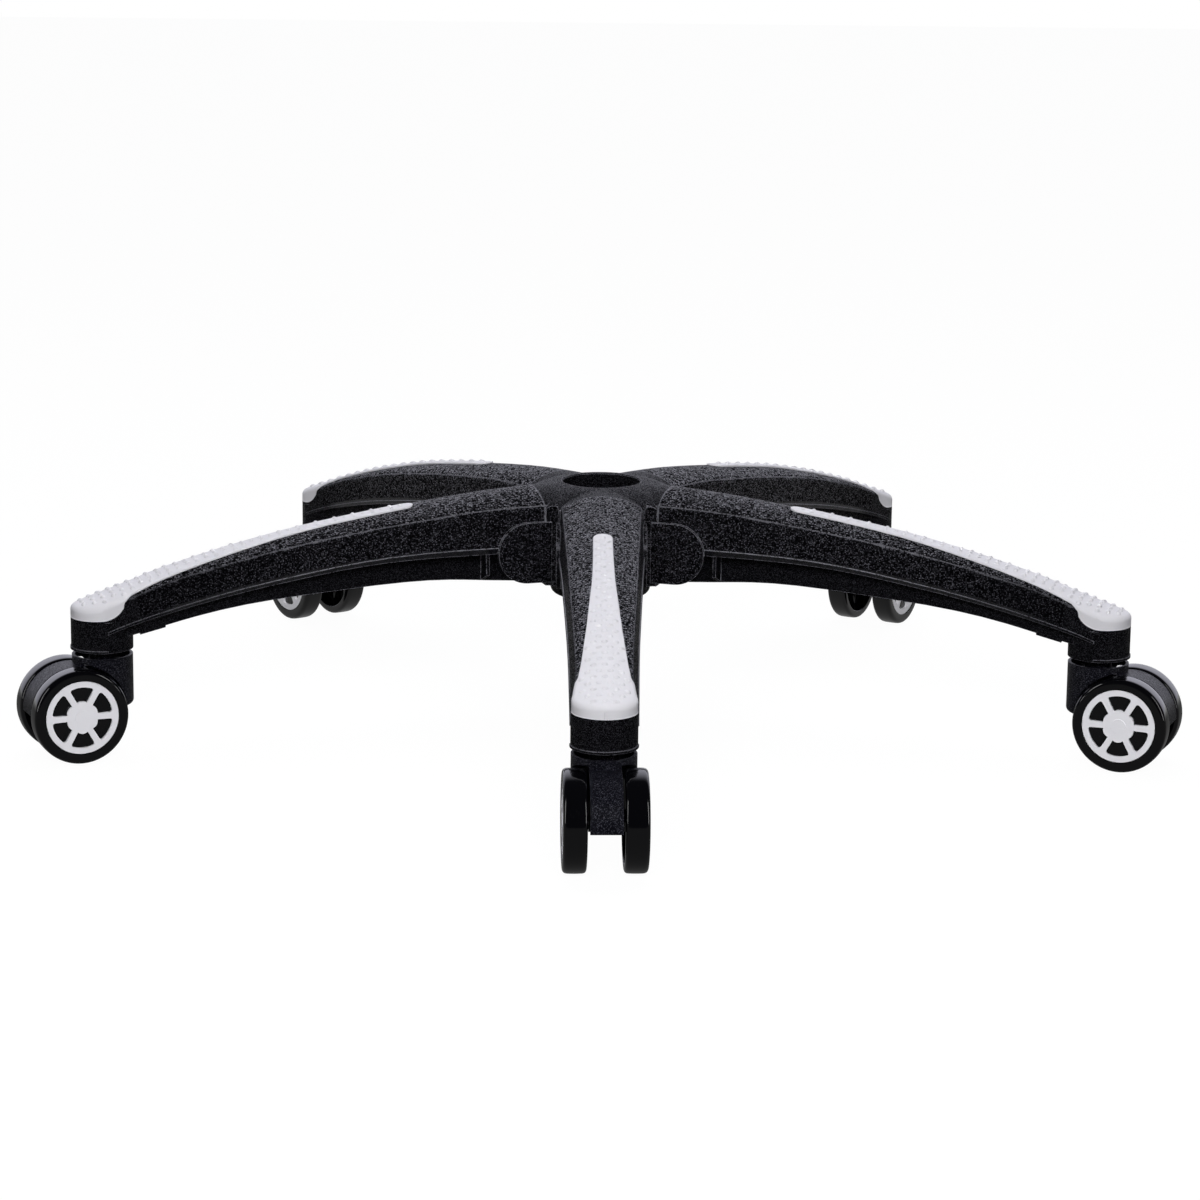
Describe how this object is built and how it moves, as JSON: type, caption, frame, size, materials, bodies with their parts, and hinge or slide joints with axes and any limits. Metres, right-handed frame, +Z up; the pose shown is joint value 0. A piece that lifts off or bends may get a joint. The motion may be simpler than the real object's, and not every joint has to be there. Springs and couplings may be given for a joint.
{
  "type": "office chair five star base",
  "caption": "Swivel chair base: ribbed black star moulding with studded white foot pads, gas lift bore and twin-wheel swivel casters.",
  "frame": {"origin": "on the hub's vertical axis, at the top of the straight wall of the gas lift bore", "axes": "+Z up along the gas lift bore; arm 1 runs along -Y and the others follow anticlockwise seen from above; +X to the right of arm 1 seen from its tip"},
  "size_m": [0.7328, 0.6981, 0.157],
  "materials": {
    "black_nylon": "spark-grained black nylon",
    "white_pad": "satin white, studded",
    "stem_steel": "zinc plated",
    "ring_steel": "spring steel",
    "housing_nylon": "fine-grained black nylon",
    "axle_steel": "bright steel",
    "wheel_gloss": "glossy black",
    "white_cap": "satin white"
  },
  "bodies": {
    "base": {"star_base": "black_nylon", "foot_pad_1": "white_pad", "foot_pad_2": "white_pad", "foot_pad_3": "white_pad", "foot_pad_4": "white_pad", "foot_pad_5": "white_pad", "caster_stem_1": "stem_steel", "caster_stem_2": "stem_steel", "caster_stem_3": "stem_steel", "caster_stem_4": "stem_steel", "caster_stem_5": "stem_steel", "grip_ring_1": "ring_steel", "grip_ring_2": "ring_steel", "grip_ring_3": "ring_steel", "grip_ring_4": "ring_steel", "grip_ring_5": "ring_steel"},
    "caster_1": {"caster_housing_1": "housing_nylon", "caster_axle_1": "axle_steel"},
    "wheel_1a": {"wheel_1a": "wheel_gloss", "hub_cap_1a": "white_cap"},
    "wheel_1b": {"wheel_1b": "wheel_gloss", "hub_cap_1b": "white_cap"},
    "caster_2": {"caster_housing_2": "housing_nylon", "caster_axle_2": "axle_steel"},
    "wheel_2a": {"wheel_2a": "wheel_gloss", "hub_cap_2a": "white_cap"},
    "wheel_2b": {"wheel_2b": "wheel_gloss", "hub_cap_2b": "white_cap"},
    "caster_3": {"caster_housing_3": "housing_nylon", "caster_axle_3": "axle_steel"},
    "wheel_3a": {"wheel_3a": "wheel_gloss", "hub_cap_3a": "white_cap"},
    "wheel_3b": {"wheel_3b": "wheel_gloss", "hub_cap_3b": "white_cap"},
    "caster_4": {"caster_housing_4": "housing_nylon", "caster_axle_4": "axle_steel"},
    "wheel_4a": {"wheel_4a": "wheel_gloss", "hub_cap_4a": "white_cap"},
    "wheel_4b": {"wheel_4b": "wheel_gloss", "hub_cap_4b": "white_cap"},
    "caster_5": {"caster_housing_5": "housing_nylon", "caster_axle_5": "axle_steel"},
    "wheel_5a": {"wheel_5a": "wheel_gloss", "hub_cap_5a": "white_cap"},
    "wheel_5b": {"wheel_5b": "wheel_gloss", "hub_cap_5b": "white_cap"}
  },
  "joints": [
    {"name": "caster_swivel_1", "type": "hinge", "parent": "base", "child": "caster_1", "pos_m": [0, -0.3275, -0.0963], "axis": [0, 0, 1], "continuous": true},
    {"name": "wheel_spin_1a", "type": "hinge", "parent": "caster_1", "child": "wheel_1a", "pos_m": [0.00067, -0.34759, -0.1263], "axis": [0.9994, 0.0335, 0], "continuous": true},
    {"name": "wheel_spin_1b", "type": "hinge", "parent": "caster_1", "child": "wheel_1b", "pos_m": [0.00067, -0.34759, -0.1263], "axis": [0.9994, 0.0335, 0], "continuous": true},
    {"name": "caster_swivel_2", "type": "hinge", "parent": "base", "child": "caster_2", "pos_m": [0.31147, -0.1012, -0.0963], "axis": [0, 0, 1], "continuous": true},
    {"name": "wheel_spin_2a", "type": "hinge", "parent": "caster_2", "child": "wheel_2a", "pos_m": [0.33012, -0.10871, -0.1263], "axis": [0.3735, 0.9276, 0], "continuous": true},
    {"name": "wheel_spin_2b", "type": "hinge", "parent": "caster_2", "child": "wheel_2b", "pos_m": [0.33012, -0.10871, -0.1263], "axis": [0.3735, 0.9276, 0], "continuous": true},
    {"name": "caster_swivel_3", "type": "hinge", "parent": "base", "child": "caster_3", "pos_m": [0.1925, 0.26495, -0.0963], "axis": [0, 0, 1], "continuous": true},
    {"name": "wheel_spin_3a", "type": "hinge", "parent": "caster_3", "child": "wheel_3a", "pos_m": [0.20214, 0.28259, -0.1263], "axis": [-0.8776, 0.4795, 0], "continuous": true},
    {"name": "wheel_spin_3b", "type": "hinge", "parent": "caster_3", "child": "wheel_3b", "pos_m": [0.20214, 0.28259, -0.1263], "axis": [-0.8776, 0.4795, 0], "continuous": true},
    {"name": "caster_swivel_4", "type": "hinge", "parent": "base", "child": "caster_4", "pos_m": [-0.1925, 0.26495, -0.0963], "axis": [0, 0, 1], "continuous": true},
    {"name": "wheel_spin_4a", "type": "hinge", "parent": "caster_4", "child": "wheel_4a", "pos_m": [-0.20381, 0.28157, -0.1263], "axis": [-0.8266, -0.5628, 0], "continuous": true},
    {"name": "wheel_spin_4b", "type": "hinge", "parent": "caster_4", "child": "wheel_4b", "pos_m": [-0.20381, 0.28157, -0.1263], "axis": [-0.8266, -0.5628, 0], "continuous": true},
    {"name": "caster_swivel_5", "type": "hinge", "parent": "base", "child": "caster_5", "pos_m": [-0.31147, -0.1012, -0.0963], "axis": [0, 0, 1], "continuous": true},
    {"name": "wheel_spin_5a", "type": "hinge", "parent": "caster_5", "child": "wheel_5a", "pos_m": [-0.33, -0.10898, -0.1263], "axis": [0.387, -0.9221, 0], "continuous": true},
    {"name": "wheel_spin_5b", "type": "hinge", "parent": "caster_5", "child": "wheel_5b", "pos_m": [-0.33, -0.10898, -0.1263], "axis": [0.387, -0.9221, 0], "continuous": true}
  ]
}
